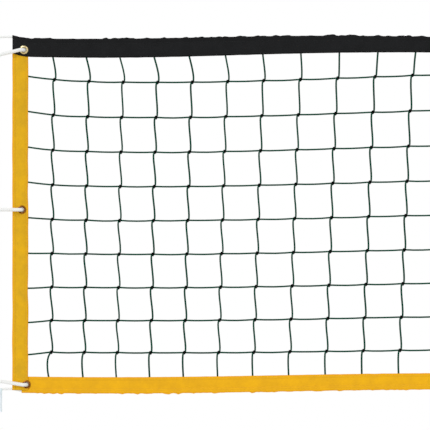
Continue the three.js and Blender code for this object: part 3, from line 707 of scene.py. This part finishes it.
def foldedStrip(half, start, run):
    # a fold drawn at `start` in Y and -Z, drawn out along X by `run`; UVs hold millimetres of cloth
    bm = bmesh.new()
    across = bm.verts.layers.float.new("across")
    bm.verts.layers.float.new("hem")
    seam = bm.verts.layers.float.new("seam")
    section = [*((-out, drop) for out, drop in half), (0, half[-1][1] - 0.25), *reversed(half)]
    corners, reach = [], 0
    for i, (out, drop) in enumerate(section):
        corners.append(bm.verts.new((start, out, -drop)))
        if i:
            reach += dist(section[i - 1], section[i])
        corners[-1][across] = reach
        corners[-1][seam] = abs(out) == tape["pinch"]
    edges = [bm.edges.new(pair) for pair in zip(corners, corners[1:])]
    bmesh.ops.spin(bm, geom=[*corners, *edges], cent=(0, 0, 0), axis=(0, 0, 1), dvec=(run, 0, 0),
                   angle=0, steps=1, use_merge=False, use_duplicate=False)
    runs = [edge for edge in bm.edges if abs(edge.verts[0].co.x - edge.verts[1].co.x) > run / 2]
    bmesh.ops.subdivide_edges(bm, edges=runs, cuts=round(run / tape["step"]) - 1, use_grid_fill=True)
    cloth = bm.loops.layers.uv.new("cloth")
    for face in bm.faces:
        for loop in face.loops:
            loop[cloth].uv = (loop.vert.co.x, loop.vert[across])
    return bm


def punchHole(bm, centre, radius, sides=16):
    # cuts a round hole through both layers, about an axis along Y
    near = radius + 9
    for i in range(sides):
        angle = 2 * pi * i / sides
        normal = Vector((cos(angle), 0, sin(angle)))
        local = [face for face in bm.faces if (face.calc_center_median() - centre).xz.length < near]
        geom = {part for face in local for part in (face, *face.edges, *face.verts)}
        bmesh.ops.bisect_plane(bm, geom=list(geom), plane_co=centre + normal * radius, plane_no=normal,
                               dist=1e-4)
    inside = [face for face in bm.faces if (face.calc_center_median() - centre).xz.length < radius * 0.99]
    bmesh.ops.delete(bm, geom=inside, context="FACES")


def ruffle(vert, seed, strength=1.0):
    # shallow wrinkles in the cloth's own plane direction, and an uneven edge
    place = vert.co / tape["wrinkleLength"]
    out = noise.noise((place.x, place.z * 0.7, seed))
    out += 0.5 * noise.noise((place.x * 2.7, place.z * 1.6, seed + 9))
    if abs(vert.co.y) > 1:
        vert.co.y += copysign(1, vert.co.y) * tape["wrinkle"] * strength * out
    return noise.noise((vert.co.x / tape["frayLength"], seed, 0)) * tape["fray"]


def puckered(along, seed):  # how far the sewn fold stands up in small puckers
    shape = noise.noise((along / tape["puckerLength"], seed, 0.5))
    often = smoothStep(-0.5, 0.05, noise.noise((along / tape["puckerPatch"], seed, 5.5)))
    return tape["pucker"] * max(0, shape + 0.04) * often


def addStitches(bm, name, material):
    # a lockstitch row in short raised threads along each seam of the folded strip
    seam = bm.verts.layers.float["seam"]
    rows = [edge for edge in bm.edges if min(edge.verts[0][seam], edge.verts[1][seam]) > 0.99]
    rows = [edge for edge in rows if edge.calc_length() < 2 * tape["step"]]
    threads = []
    for edge in rows:
        start, end = (vert.co for vert in edge.verts)
        lay = (end - start).normalized() * stitch["length"]
        out = Vector((0, copysign(1, start.y) * tape["thickness"] / 2, 0))
        for share in (0.25, 0.75):
            middle = start.lerp(end, share) + out
            threads.append([middle - lay, middle + out * 0.25, middle + lay])
    bm = bmesh.new()
    addTubes(bm, threads, stitch["width"], 4, pointed=True)
    return finishPiece(bm, name, material)


def sewTape(bm, name, node, cloth, thread, holes):
    # stitches the folded strip, punches it for its grommets and gives the cloth its thickness
    stitches = addStitches(bm, f"{name}_stitches", surface[thread])
    for grommet in holes:
        punchHole(bm, nodeCentre(f"grommet_{grommet}"), holeRadius)
    piece = finishPiece(bm, name, cloth, [node], sharp=70)
    wall = piece.modifiers.new("cloth thickness", "SOLIDIFY")
    wall.thickness = tape["thickness"] * mm
    wall.offset = 0
    wall.use_rim = True


def makeTopTape():
    bm = foldedStrip(ropedFold(topBand), 0, netLength)
    hem = bm.verts.layers.float["hem"]
    neck = tape["neck"]
    for vert in bm.verts:
        along, drop = vert.co.x, -vert.co.z
        depth = topDepth(along)
        if drop > neck:
            drop = neck + (drop - neck) * (depth - neck) / (topBand - neck)
        vert[hem] = min(drop, depth - drop)
        vert.co = (netLeft + along, vert.co.y, netTop + topLift(along) - drop)
        end = min(along, netLength - along)
        if drop > neck:
            vert.co.y *= 1 - 0.45 * (1 - smoothStep(0, 6, end))
        rough = ruffle(vert, 3)
        vert.co.z += rough * (1 if vert[hem] < 2 else 0.5)
        vert.co.z += puckered(along, 3.3) * (1 - smoothStep(0, 7, drop))
    sewTape(bm, "top_band", "top_tape", blackCloth, "blackBondedNylon", ["top_left", "top_right"])


def makeFootTape():
    inset = tape["footInset"]
    run = netLength - 2 * inset
    bm = foldedStrip(ropedFold(footBand), inset, run)
    hem = bm.verts.layers.float["hem"]
    for vert in bm.verts:
        along, drop = vert.co.x, -vert.co.z
        vert[hem] = min(drop, footBand - drop)
        end = min(along, netLength - along)
        under = 1 - smoothStep(sideBand + 1, tape["underReach"], end)
        if drop > tape["neck"] - 1:
            vert.co.y *= 1 + under * (tape["underPinch"] / tape["puff"] - 1)
        vert.co = (netLeft + along, vert.co.y, netBottom + footLift(along) + drop)
        rough = ruffle(vert, 7, 1 - under)
        vert.co.z += rough * (1 if vert[hem] < 2 else 0.5)
        vert.co.z -= 0.8 * puckered(along, 8.7) * (1 - smoothStep(0, 7, drop)) * (1 - under)
    bmesh.ops.reverse_faces(bm, faces=bm.faces)
    sewTape(bm, "foot_band", "bottom_tape", brightCloth, "yellowBondedNylon",
            ["bottom_left", "bottom_right"])


def makeSideTape(side):
    mirror = 1 if side == "left" else -1
    edge = netLeft if side == "left" else netLeft + netLength
    low, high = netBottom + tape["sideEnd"], netTop - 42
    bm = foldedStrip(plainFold(sideBand), 0, high - low)
    hem = bm.verts.layers.float["hem"]
    for vert in bm.verts:
        along, reach, out = vert.co.x, -vert.co.z, vert.co.y
        up = low + along
        vert[hem] = min(reach, sideBand - reach)
        under = smoothStep(netTop - 62, netTop - 54, up)
        over = 1 - smoothStep(netBottom + 48, netBottom + 60, up)
        lip = 1 - smoothStep(0, 5, along)
        ropeBulge = exp(-((up - netBottom - cornerRope) / 5) ** 2)
        if abs(out) > 0.5:
            out += copysign(1, out) * (over * 1.1 + lip * 0.9 + ropeBulge * 1.6 - under * 1.5)
        wobble = noise.noise((up / 90, 4, 0)) * 1.3
        wobble += noise.noise((up / 70, 11, 0)) * 1.4 * reach / sideBand
        vert.co = (edge + mirror * (reach + wobble), out, up)
        if under + over < 0.01:
            ruffle(vert, 13)
    if mirror == 1:
        bmesh.ops.reverse_faces(bm, faces=bm.faces)
    holes = [f"middle_{side}", f"bottom_{side}"]
    sewTape(bm, f"side_band_{side}", f"side_tape_{side}", yellowCloth, "yellowBondedNylon", holes)


makeTopTape()
makeFootTape()
for side in bothSides:
    makeSideTape(side)
print("tapes made")

# ---- grommets

eyelet = {"bore": 7, "crown": 1.7, "flange": 12, "lip": 0.6, "faceOut": 3.6, "footOut": 4.4, "steps": 40}


def addSpun(bm, profile, centre, axis, steps):
    # a profile of (radius, height) turned all the way round an axis through the centre
    axis = Vector(axis).normalized()
    aside = axis.orthogonal().normalized()
    spun = bmesh.new()
    verts = [spun.verts.new(aside * radius + axis * height) for radius, height in profile]
    edges = [spun.edges.new(pair) for pair in zip(verts, verts[1:])]
    bmesh.ops.spin(spun, geom=[*verts, *edges], cent=(0, 0, 0), axis=axis, angle=2 * pi, steps=steps,
                   use_merge=True)
    bmesh.ops.remove_doubles(spun, verts=spun.verts, dist=0.002)
    bmesh.ops.translate(spun, vec=centre, verts=spun.verts)
    mesh = takeMesh(spun, "spun")
    bm.from_mesh(mesh)
    bpy.data.meshes.remove(mesh)


def makeGrommet(level, side):
    bore, flange, crown, lip = (eyelet[key] for key in ("bore", "flange", "crown", "lip"))
    face = eyelet["footOut" if level == "bottom" else "faceOut"]  # two tapes lie under the lowest
    roll = (flange - lip - bore - crown) / 2
    half = [(bore, 0), (bore, face + crown * 0.3)]
    half += arcPoints(bore + crown, face, crown, 160, 90, 4)
    half += [(bore + crown + roll, face + crown * 0.85), (flange - lip, face + lip)]
    half += arcPoints(flange - lip, face, lip, 60, 0, 3)
    half += [(bore + crown, face - 0.3)]
    bm = bmesh.new()
    profile = half + [(radius, -height) for radius, height in reversed(half[1:])] + [half[0]]
    addSpun(bm, profile, nodeCentre(f"grommet_{level}_{side}"), (0, 1, 0), eyelet["steps"])
    bmesh.ops.recalc_face_normals(bm, faces=bm.faces)
    # the middle and lower eyelets take the brass copy painted as shade
    material = surface["lacqueredBrass" if level == "top" else "brassPaintedShade"]
    finishPiece(bm, f"eyelet_{level}_{side}", material, [f"grommet_{level}_{side}"], sharp=50)


for level in levels:
    for side in bothSides:
        makeGrommet(level, side)
print("grommets made")

# ---- head rope, foot rope and lashings

rope = {"lashing": 10.6, "line": 7, "inHem": 40, "throat": 6, "front": -10.9, "bend": 9.5, "eyeRoom": 0.5}
hookRod, pinRod = 4, 5


def eyeRadius(rod, diameter):
    return rod + rope["eyeRoom"] + diameter / 2


def addStopper(bm, x, z, behind, diameter):
    # a barrel knot: the end wound back round the rope, then tucked out beside it
    coil = diameter * 0.82
    start = Vector((x, behind + 1.75 * coil + diameter / 2, z))
    turn = turnPath(start, (0, 1, 0), (1, 0, 0.3), coil, 620, -1.7 * coil, 60)
    tuck = [turn[-1] + Vector((0.3, -0.5, 0.2)) * 8]
    lead = [Vector((x, behind, z)), Vector((x, behind + 2.1 * coil, z))]
    lead += [turn[0].lerp(Vector((x, turn[0].y + 3, z)), 0.45)]
    addRope(bm, smoothPath(lead + turn[2::3] + tuck, 1.2), diameter * 0.86, even=False)


def hookHeight(level, side):  # of a front hook, where its lashing's eye is
    low, high = nodeBox(f"lashing_{level}_{side}")
    radius = rope["lashing"] / 2
    return {"top": low.z + radius, "middle": (low.z + high.z) / 2, "bottom": high.z - radius}[level]


def makeLashing(level, side):
    mirror = -1 if side == "left" else 1
    diameter, bend, front = rope["lashing"], rope["bend"], rope["front"]
    centre = nodeCentre(f"grommet_{level}_{side}")
    x, z = centre.x, centre.z
    low, high = nodeBox(f"lashing_{level}_{side}")
    spread = eyeRadius(hookRod, diameter) + diameter / 2
    height = z if level == "middle" else hookHeight(level, side)
    hook = Vector((low.x + spread if side == "left" else high.x - spread, front, height))
    away = Vector((-mirror, 0, 0))
    start = hook + away * eyeRadius(hookRod, diameter)
    curve = [Vector((x + mirror * (bend - across), front + bend - out, z))
             for across, out in arcPoints(0, 0, bend, 0, 90, 9)]
    back = (curve[-1] - start).normalized()
    bm = bmesh.new()
    addRope(bm, [Vector((x, 12, z)), *curve, start + back * 8], diameter)
    addEye(bm, hook, away, Vector((0, 1, 0)), eyeRadius(hookRod, diameter), diameter, 24)
    addWhipping(bm, start + back * 6, start + back * 22, 8.6)
    addStopper(bm, x, z, 5.6, diameter)
    finishPiece(bm, f"tie_{level}_{side}", whiteRope, [f"lashing_{level}_{side}"])


def hemPath(start, stop, height):  # between two distances along the net, inside a hem
    steps = round(netLength / rope["inHem"])
    spots = [start + (stop - start) * i / steps for i in range(steps + 1)]
    return [Vector((netLeft + along, 0, height(along))) for along in spots]


def addLoop(bm, hook, away, aside, rod):  # an eye at the end of a line, whipped at its throat
    radius = eyeRadius(rod, rope["line"])
    throat = radius + rope["throat"]
    addEye(bm, hook, away, aside, radius, rope["line"], 20)
    addWhipping(bm, hook + away * (throat - 1), hook + away * (throat + 11), 6.2)


inHem = tape["bulb"] + tape["thickness"] / 2  # how deep the line lies in a hem
liveTurn = {"radius": 20, "angle": 162, "y": -19.5, "sheaveRadius": 34}


def makeHeadRope():
    diameter = rope["line"]
    pin, axle, drum = nodeCentre("head_pin_right"), nodeCentre("sheave"), nodeCentre("winch_drum")
    pin.y = 0
    hem = hemPath(netLength, 0, lambda along: netTop + topLift(along) - inHem)
    overSheave = [Vector((u, 0, v))
                  for u, v in arcPoints(axle.x, axle.z, liveTurn["sheaveRadius"], 90, 180, 24)]
    underDrum = [Vector((u, liveTurn["y"], v))
                 for u, v in arcPoints(drum.x, drum.z, liveTurn["radius"], 0, -liveTurn["angle"], 36)]
    throat = pin - Vector((eyeRadius(pinRod, diameter) + rope["throat"], 0, 0))
    step = diameter * braid["stepShare"]
    path = evenPath([throat, hem[0]], step) + hem[1:-1] + evenPath([hem[-1], *overSheave, *underDrum], step)
    bm = bmesh.new()
    addRope(bm, path, diameter, even=False)
    addLoop(bm, pin, Vector((-1, 0, 0)), Vector((0, 0, 1)), pinRod)
    finishPiece(bm, "hoist_rope", whiteRope, ["head_rope"])


def makeFootRope():
    diameter = rope["line"]
    low, high = nodeBox("foot_rope")
    spread = eyeRadius(hookRod, diameter) + diameter / 2
    level = nodeCentre("foot_rope").z
    leftHook, rightHook = Vector((low.x + spread, 0, level)), Vector((high.x - spread, 0, level))
    hem = hemPath(30, netLength - 30, lambda along: netBottom + footLift(along) + inHem)
    leftCorner = Vector((netLeft, 0, netBottom + cornerRope))
    rightCorner = Vector((netLeft + netLength, 0, netBottom + cornerRope))
    away = Vector((1, 0, 0))
    reach = away * (eyeRadius(hookRod, diameter) + rope["throat"])
    step = diameter * braid["stepShare"]
    leftRun = evenPath([leftHook + reach, leftCorner, hem[0]], step)
    rightRun = evenPath([hem[-1], rightCorner, rightHook - reach], step)
    bm = bmesh.new()
    addRope(bm, leftRun + hem[1:-1] + rightRun, diameter, even=False)
    addLoop(bm, leftHook, away, Vector((0, 1, 0)), hookRod)
    addLoop(bm, rightHook, -away, Vector((0, 1, 0)), hookRod)
    finishPiece(bm, "draw_rope", whiteRope, ["foot_rope"])


def makeHitch():
    centre = nodeCentre("foot_rope_hitch")
    radius = nodeSize("foot_rope_hitch").z / 2 - tail["diameter"] / 2
    turns = turnPath(centre + Vector((-4, 0, 0)), (1, 0, 0), (0, 1, 0), radius, 585, 6, 44)
    turns = [*turns[:-5], centre + Vector((1, -5.4, -4.6)), centre + Vector((0.2, -2.2, -8.2)),
             Vector((centre.x, 0, tail["top"] + 0.2))]
    bm = bmesh.new()
    addRope(bm, turns, tail["diameter"] * 0.95)
    finishPiece(bm, "tail_hitch", shadedCord, ["foot_rope_hitch"])


winding = {"radius": 20, "pitch": 7.8, "loops": 3, "start": -11.7}


def makeWinding():
    start, loops = nodeCentre("drum_winding"), winding["loops"]
    start.y = winding["start"]
    turns = turnPath(start, (0, 1, 0), (1, 0, 0), winding["radius"], 360 * loops, winding["pitch"] * loops,
                     48 * loops)
    bm = bmesh.new()
    addRope(bm, turns, rope["line"])
    finishPiece(bm, "drum_turns", whiteRope, ["drum_winding"], body="drum")


for level in levels:
    for side in bothSides:
        makeLashing(level, side)
makeHeadRope()
makeFootRope()
makeHitch()
makeWinding()
print("ropes made")

# ---- posts and winch: each of the frame's rigid nodes again, with its edges broken and rounded

# The nodes that each finish covers, by the start of their names, and how far their edges are rounded
hardware = {
    "powderCoatedSteel": {"base_plate": 1.2, "sleeve_tube": 0.8},
    "anodisedAluminium": {"clamp_collar": 1.5, "mast_left": 0.7, "mast_right": 0.7, "mast_head": 1.3},
    "zincPlatedSteel": {
        "anchor_bolt": 0.8, "head_pin": 0.8, "winch_frame": 0.8, "winch_u_bolt": 0.6, "winch_drum": 0.7,
        "drum_gear": 0.25, "ratchet_wheel": 0.4, "ratchet_pawl": 0.6, "pinion_shaft": 0.25, "crank_arm": 0.9},
    "mouldedNylon": {"mast_bush": 0.7, "clamp_knob": 1.2, "sheave": 0.6, "crank_grip": 1.2},
}
weld = {"step": 1.6, "ripple": 3.4, "sides": 8, "foot": 3.2, "hook": 1.7, "socket": 54, "gusset": 165,
        "half": 4, "top": 12, "high": 108}


def addWeld(bm, points, radius, closed=False):
    # a bead laid in overlapping ripples
    path = evenPath(points, weld["step"])
    if closed:
        path.pop()
    count = weld["sides"]
    made = addTubes(bm, [path], radius, count, closed)
    for i, point in enumerate(path):
        along = weld["step"] * (i + 1)
        swollen = 0.82 + 0.3 * abs(sin(pi * along / weld["ripple"])) + 0.1 * random.random()
        for vert in made[i * count:(i + 1) * count]:
            vert.co = point + (vert.co - point) * swollen


# The rounds that are split more finely, with the direction of their axis
rounds = {"sheave": "Y", "winch_drum": "Y", "crank_grip": "Y", "head_pin": "Y", "mast_bush": "Z",
          "mast_head": "Z", "winch_u_bolt": "Z"}
post = {"sleeveWall": 3.5, "mastWall": 3, "collarBore": 44.8, "studHeight": 977, "bossReach": 64, "boss": 13,
        "bossRoot": 50, "studBore": 5.4, "hookOut": 60, "hookLow": 13, "hookHigh": 17, "hookBend": 7,
        "rootIn": 2.1}


def refineRounds(bm, centre, axis, cuts=3):
    # splits the facets that go round the axis and moves their new corners out to the circle
    reach = bm.verts.layers.float.new("reach")
    spokes = {}
    for vert in bm.verts:
        spoke = vert.co - centre
        spokes[vert] = spoke - axis * spoke.dot(axis)
        vert[reach] = spokes[vert].length
    facets = []
    for edge in bm.edges:
        first, second = edge.verts
        level = abs((first.co - second.co).dot(axis)) < 0.02
        if level and min(first[reach], second[reach]) > 0.5 and abs(first[reach] - second[reach]) < 0.02:
            if spokes[first].angle(spokes[second]) < radians(40):
                facets.append(edge)
    bmesh.ops.subdivide_edges(bm, edges=facets, cuts=cuts, use_grid_fill=True)
    for vert in bm.verts:
        if vert not in spokes:
            spoke = vert.co - centre
            spoke -= axis * spoke.dot(axis)
            vert.co += spoke * (vert[reach] / spoke.length - 1)


def copyNode(bm, node):
    bm.from_mesh(frame["nodes"][node].data)
    bmesh.ops.scale(bm, vec=(1 / mm, 1 / mm, 1 / mm), verts=bm.verts)
    bmesh.ops.remove_doubles(bm, verts=bm.verts, dist=0.01)
    bmesh.ops.dissolve_limit(bm, angle_limit=radians(2), verts=bm.verts, edges=bm.edges)
    for start, direction in rounds.items():
        if node.startswith(start):
            centre = nodeCentre(node)
            if direction == "Z":
                centre = Vector((copysign(postX, centre.x), 0, 0))
            refineRounds(bm, centre, Vector((0, direction == "Y", direction == "Z")))


def hookPlaces(mirror):  # three hooks in front, and one in the middle for the foot rope
    side = "left" if mirror < 0 else "right"
    return [*((rope["front"], hookHeight(level, side)) for level in levels), (0, nodeCentre("foot_rope").z)]


def drawTube(bm, node):  # the mast and its sleeve and collar are drawn again, as round tubes
    low, high = nodeBox(node)
    mirror = copysign(1, low.x)
    centre = Vector((mirror * postX, 0, 0))
    inner, outer = post["collarBore"], high.y
    if node.startswith("clamp_collar"):
        outer = (high.x - low.x) / 2
        spot = centre + Vector((0, 0, post["studHeight"]))
        boss = [(post["studBore"], post["bossRoot"]), (post["boss"], post["bossRoot"]),
                (post["boss"], post["bossReach"]), (post["studBore"], post["bossReach"])]
        addSpun(bm, [*boss, boss[0]], spot, (0, -1, 0), 40)
    elif node.startswith("sleeve_tube"):
        inner = outer - post["sleeveWall"]
    else:
        inner = outer - post["mastWall"]
        for y, z in hookPlaces(mirror):
            root = sqrt(outer ** 2 - y ** 2) - post["rootIn"]
            base = z - post["hookLow"]
            curl = post["hookBend"]
            bend = arcPoints(post["hookOut"] - curl, base + curl, curl, -90, 0, 8)
            route = [(root, base), *bend, (post["hookOut"], z + post["hookHigh"])]
            addTubes(bm, [[centre + Vector((-mirror * u, y, v)) for u, v in route]], hookRod, 16)
    wall = [(inner, low.z), (outer, low.z), (outer, high.z), (inner, high.z)]
    addSpun(bm, [*wall, wall[0]], centre, (0, 0, 1), 80)
    bmesh.ops.recalc_face_normals(bm, faces=bm.faces)


def makeRounded(node, finish, rounding):
    bm = bmesh.new()
    if node.startswith(("mast_left", "mast_right", "sleeve_tube", "clamp_collar")):
        drawTube(bm, node)
    else:
        copyNode(bm, node)
    sharp = [edge for edge in bm.edges if edge.is_manifold and edge.calc_face_angle() > radians(40)]
    bmesh.ops.bevel(bm, geom=sharp, offset=rounding, affect="EDGES", segments=2, profile=0.5, material=-1,
                    clamp_overlap=True)
    kind = "moulding" if finish == "mouldedNylon" else "metal"
    body = body_of(frame["nodes"][node])[0]
    piece = finishPiece(bm, f"{node}_{kind}", surface[finish], [node], body, sharp=46)
    flat = piece.modifiers.new("flat faces", "WEIGHTED_NORMAL")
    flat.keep_sharp = True


for node in frame["nodes"]:
    for finish, edges in hardware.items():
        for start, rounding in edges.items():
            if node.startswith(start) and not frame["nodes"][node].hide_render:
                makeRounded(node, finish, rounding)
print("posts and winch made")


def makeHookWelds(side):
    mirror = -1 if side == "left" else 1
    outer = nodeBox(f"mast_{side}")[1].y
    bm = bmesh.new()
    for y, z in hookPlaces(mirror):
        ring = []
        for u, v in arcPoints(y, z - post["hookLow"], hookRod + 0.3, 0, 360, 24):
            ring.append(Vector((mirror * (postX - sqrt(outer ** 2 - u ** 2)), u, v)))
        addWeld(bm, ring, weld["hook"], closed=True)
    finishPiece(bm, f"hook_welds_{side}", surface["anodisedAluminium"])


def makeBaseWelds(side):
    centre = Vector((nodeCentre(f"base_plate_{side}").x, 0, weld["top"]))
    socket, up, foot = weld["socket"], Vector((0, 0, 1)), weld["foot"]
    bm = bmesh.new()
    for corner in (45, 135, 225, 315):
        out = Vector((cos(radians(corner)), sin(radians(corner)), 0))
        for hand in (-1, 1):
            root = centre + Vector((-out.y, out.x, 0)) * hand * weld["half"]
            addWeld(bm, [root + out * (socket + 2), root + out * (weld["gusset"] - 2)], foot)
            addWeld(bm, [root + out * socket + up * 2, root + out * socket + up * weld["high"]], foot * 0.85)
        arc = arcPoints(0, 0, socket, corner + 5, corner + 85, 40)
        addWeld(bm, [centre + Vector((u, v, 0)) for u, v in arc], foot)
    finishPiece(bm, f"base_welds_{side}", surface["powderCoatedSteel"], body="ground_posts")


for side in bothSides:
    makeBaseWelds(side)
    makeHookWelds(side)
print("welds made")

# ---- stage and light


def makeStage():
    bm = bmesh.new()
    bmesh.ops.create_grid(bm, x_segments=1, y_segments=1, size=9,
                          matrix=Matrix.Translation((0, 0, -0.0002)))
    ground = addObject("floor", takeMesh(bm, "floor"))
    ground.data.materials.append(surface["palePlaster"])


lights = {"sky": 0.8, "key": 0.9, "keyTurn": (50, 0, -35), "fill": 0.4, "fillTurn": (55, 0, 150),
          "softness": 20, "room": (0.28, 1.3)}


def makeWorld():  # white to the camera, and an uneven room in what the metal reflects
    world = bpy.data.worlds.new("studio")
    scene.world = world
    world.use_nodes = True
    tree = world.node_tree
    background = tree.nodes["Background"]
    background.inputs["Color"].default_value = (1, 1, 1, 1)
    rays = addNode(tree, "LightPath").node.outputs
    seen = addNode(tree, "Math", {0: rays["Is Camera Ray"], 1: rays["Is Transmission Ray"]},
                   operation="MAXIMUM")
    around = addNode(tree, "TexCoord").node.outputs["Generated"]
    patches = addNode(tree, "TexNoise", {"Vector": around, "Scale": 1.7, "Detail": 1})
    dim, bright = lights["room"]
    room = addNode(tree, "MapRange", {"Value": patches, 1: 0.4, 2: 0.6, 3: dim, 4: bright})
    cast = addNode(tree, "MapRange", {"Value": rays["Is Glossy Ray"], 3: lights["sky"], 4: room})
    level = addNode(tree, "MapRange", {"Value": seen, 3: cast, 4: 1})
    tree.links.new(level, background.inputs["Strength"])


def makeSun(name, strength, turn):
    sun = bpy.data.lights.new(name, "SUN")
    sun.energy = strength
    sun.angle = radians(lights["softness"])
    lamp = addObject(name, sun)
    lamp.rotation_euler = [radians(angle) for angle in turn]


makeStage()
makeWorld()
makeSun("key", lights["key"], lights["keyTurn"])
makeSun("fill", lights["fill"], lights["fillTurn"])
scene.view_settings.view_transform = "Standard"
